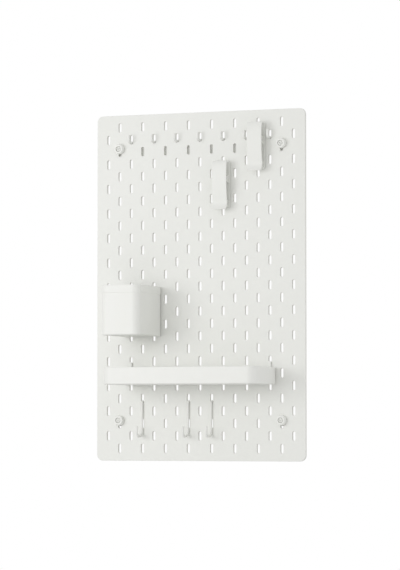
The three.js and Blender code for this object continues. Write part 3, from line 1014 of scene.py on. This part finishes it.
def smooth_line(points, steps_between=6):
    """A line of even bends through every given point."""
    ends = [points[0] * 2 - points[1], *points, points[-1] * 2 - points[-2]]
    line = []
    for before, start, end, after in zip(ends, ends[1:], ends[2:], ends[3:]):
        for k in range(steps_between):
            t = k / steps_between
            line.append((
                start * 2 + (end - before) * t
                + (before * 2 - start * 5 + end * 4 - after) * t ** 2
                + (start * 3 - before - end * 3 + after) * t ** 3
            ) / 2)
    return line + [points[-1]]


def rounding(run, radius):
    """How wide a round end is, from 0 to 1, at a run from where it begins."""
    return math.sqrt(max(0.0, 1.0 - max(0.0, 1.0 - run / radius) ** 2))


def sheet_ring(centre, across, half_width, half_thick, edge):
    """A cross section of the lever's sheet, with its long edges rounded."""
    ring = []
    corners = ((1, 1, 0), (-1, 1, 90), (-1, -1, 180), (1, -1, 270))
    for side, face, start in corners:
        for k in range(5):
            angle = math.radians(start + 90 * k / 4)
            sideways = side * (half_width - edge) + edge * math.cos(angle)
            out = face * (half_thick - edge) + edge * math.sin(angle)
            ring.append(centre + Vector((sideways, 0, 0)) + across * out)
    return ring


def lever_mesh(x, slot_z, half):
    """A bent plastic sheet with round corners, on two lugs that turn on the pin."""
    flat = smooth_line([Vector((y * MM, slot_z + z * MM)) for y, z in LEVER_LINE])
    ahead = tangents(flat)
    runs = [0.0]
    for here, after in zip(flat, flat[1:]):
        runs.append(runs[-1] + (after - here).length)
    rings = []
    for i, point in enumerate(flat):
        across = Vector((0, ahead[i].y, -ahead[i].x))
        run, rest = runs[i] + 0.02 * MM, runs[-1] - runs[i] + 0.02 * MM
        width = half - LEVER_TOP_CORNER * (1 - rounding(run, LEVER_TOP_CORNER))
        width -= LEVER_TIP_CORNER * (1 - rounding(rest, LEVER_TIP_CORNER))
        thin = min(rounding(run, LEVER_EDGE), rounding(rest, LEVER_EDGE))
        thick = LEVER_THICK / 2 * (0.35 + 0.65 * thin)
        centre = Vector((x, point.x, point.y))
        rings.append(sheet_ring(centre, across, width, thick, min(LEVER_EDGE, 0.9 * thick)))
    sheet = new_mesh("sheet", *lofted(rings))
    corners = [(y * MM, slot_z + z * MM, radius * MM) for y, z, radius in LUG]
    lugs = side_pair(corners, x, LUG_OUTSIDE, LUG_THICK)
    whole = combined("clip_lever", sheet, [*lugs, jaw_mesh(x, slot_z, half - JAW_INSET)])
    return combined("clip_lever", whole, [pin_hole(x, slot_z, half)], "DIFFERENCE")


def jaw_mesh(x, slot_z, half):
    """The pad behind the lever that closes on the plate."""
    pad = filleted([
        (JAW_FOOT, slot_z + JAW_BOTTOM), (JAW_TIP, slot_z + JAW_BOTTOM + JAW_SLANT, 1.4 * MM),
        (JAW_TIP, slot_z + JAW_TOP - JAW_SLANT, 1.4 * MM), (JAW_FOOT, slot_z + JAW_TOP),
    ], closed=True)
    return prism_mesh("jaw", pad, x - half, x + half, side_plane, bevel=0.5 * MM)


def side_pair(corners, x, outside, thick):
    """The same upright piece on the left and on the right of a clip."""
    outline = filleted(corners, closed=True)
    pair = []
    for side in (-1, 1):
        faces = sorted((x + side * outside, x + side * (outside - thick)))
        pair.append(prism_mesh("side", outline, *faces, side_plane, bevel=0.3 * MM))
    return pair


def pin_hole(x, slot_z, half):
    """What the pin's hole takes away."""
    hole = turned_mesh("pin_hole", [(PIN_HOLE, -half), (PIN_HOLE, half)], 32)
    hole.transform(Matrix.Rotation(math.pi / 2, 4, "Z"))
    hole.transform(Matrix.Translation((x, CLIP_PIVOT_Y, slot_z - CLIP_PIVOT_DROP)))
    return hole


def clip_back_mesh(x, slot_z, half):
    """A plate with its tab and two ears for the pin."""
    plate_back = BOARD_FRONT - PLATE_STAND_OFF
    outline = rounded_box(x - half, x + half, slot_z + PLATE_BOTTOM, slot_z + PLATE_TOP, PLATE_CORNER)
    plate = prism_mesh("plate", outline, PLATE_FRONT, plate_back, face_plane, bevel=0.5 * MM)
    pivot_z = slot_z - CLIP_PIVOT_DROP
    foot, tip = PLATE_FRONT + 0.8 * MM, CLIP_PIVOT_Y - EAR_PAST_PIN
    ear = [
        (foot, pivot_z - EAR_HALF_FOOT), (foot, pivot_z + EAR_HALF_FOOT),
        (tip, pivot_z + EAR_HALF_TIP, 2.4 * MM), (tip, pivot_z - EAR_HALF_TIP, 2.4 * MM),
    ]
    parts = [tab_mesh(slot_z, x, plate_back - TAB_ROOT), *side_pair(ear, x, EAR_OUTSIDE, EAR_THICK)]
    whole = combined("clip_back", plate, parts)
    return combined("clip_back", whole, [pin_hole(x, slot_z, half)], "DIFFERENCE")


def spring_mesh(name, x, pivot_z):
    """A coil round the pin, with one leg on the plate and one behind the lever."""
    left, right = x - COIL_HALF_WIDTH, x + COIL_HALF_WIDTH
    line = [Vector((left, COIL_LEG_REAR, pivot_z + COIL_LEG_UP))]
    count = round(COIL_TURNS * COIL_STEPS)
    for k in range(count + 1):
        angle = -2 * math.pi * k / COIL_STEPS
        out, up = COIL_RADIUS * math.cos(angle), COIL_RADIUS * math.sin(angle)
        line.append(Vector((left + (right - left) * k / count, CLIP_PIVOT_Y + out, pivot_z + up)))
    line.append(Vector((right + 0.5 * MM, COIL_LEG_FRONT, pivot_z + COIL_LEG_UP)))
    return tube_mesh(name, line, COIL_WIRE, 10)


def pin_mesh(name, half_length):
    """A headless pin with peened, slightly domed ends, turned about Y and laid along X."""
    peened = PIN_RADIUS * 0.75
    profile = [(p.x, p.y) for p in filleted([
        (TURNED_END, -half_length), (peened, -half_length + 0.1 * MM, 0.4 * MM),
        (PIN_RADIUS, -half_length + 0.5 * MM, 0.3 * MM), (PIN_RADIUS, half_length - 0.5 * MM, 0.3 * MM),
        (peened, half_length - 0.1 * MM, 0.4 * MM), (TURNED_END, half_length),
    ])]
    mesh = turned_mesh(name, profile, 32)
    mesh.transform(Matrix.Rotation(math.pi / 2, 4, "Z"))
    return mesh


def add_clips(plastic, zinc, wire):
    """Each clip's back, pin and spring ride on its base, and its lever on its arm."""
    for letter, row in CLIP_ROWS:
        clip = f"clip_{letter}"
        slot_z = slot_row_z(row)
        low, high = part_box(f"{clip}_lever")
        x, half = (low.x + high.x) / 2, (high.x - low.x) / 2
        back = clip_back_mesh(x, slot_z, half)
        add_piece(f"fine_{clip}_back", back, [plastic], f"{clip}_base", [f"{clip}_back"])
        lever = lever_mesh(x, slot_z, half)
        add_piece(f"fine_{clip}_lever", lever, [plastic], f"{clip}_arm", [f"{clip}_lever"])
        pin_low, pin_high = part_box(f"{clip}_pin")
        pin = pin_mesh(f"{clip}_pin", (pin_high.x - pin_low.x) / 2)
        place = (pin_low + pin_high) / 2
        add_piece(f"fine_{clip}_pin", pin, [zinc], f"{clip}_base", [f"{clip}_pin"], place)
        spring = spring_mesh(f"{clip}_spring", x, slot_z - CLIP_PIVOT_DROP)
        add_piece(f"fine_{clip}_spring", spring, [wire], f"{clip}_base", [f"{clip}_spring"])


# ---------------------------------------------------------------- floor and scene


def add_floor():
    half = FLOOR_HALF
    corners = ((-half, -half), (half, -half), (half, half), (-half, half))
    level = BOARD_LOW.z - FLOOR_DROP
    rings = [[Vector((x, y, z)) for x, y in corners] for z in (level - FLOOR_THICK, level)]
    floor = bpy.data.objects.new("floor", new_mesh("floor", *lofted(rings)))
    floor.data.materials.append(studio_floor())
    bpy.context.scene.collection.objects.link(floor)


add_camera()
add_world()
add_lights()
add_floor()
bpy.context.scene.view_settings.view_transform = "Standard"

plastic, steel, zinc, wire = moulded_plastic(), powder_coat(), zinc_plate(), spring_steel()
finishes = [board_lacquer(), board_cut_edge()]
add_piece("fine_pegboard_panel", board_mesh(), finishes, "board", ["pegboard_panel"])
add_mounts(plastic, steel, zinc)
add_hook_rail(steel)
add_peg_hooks(steel)
add_cup(plastic)
add_tray(steel)
add_clips(plastic, zinc, wire)
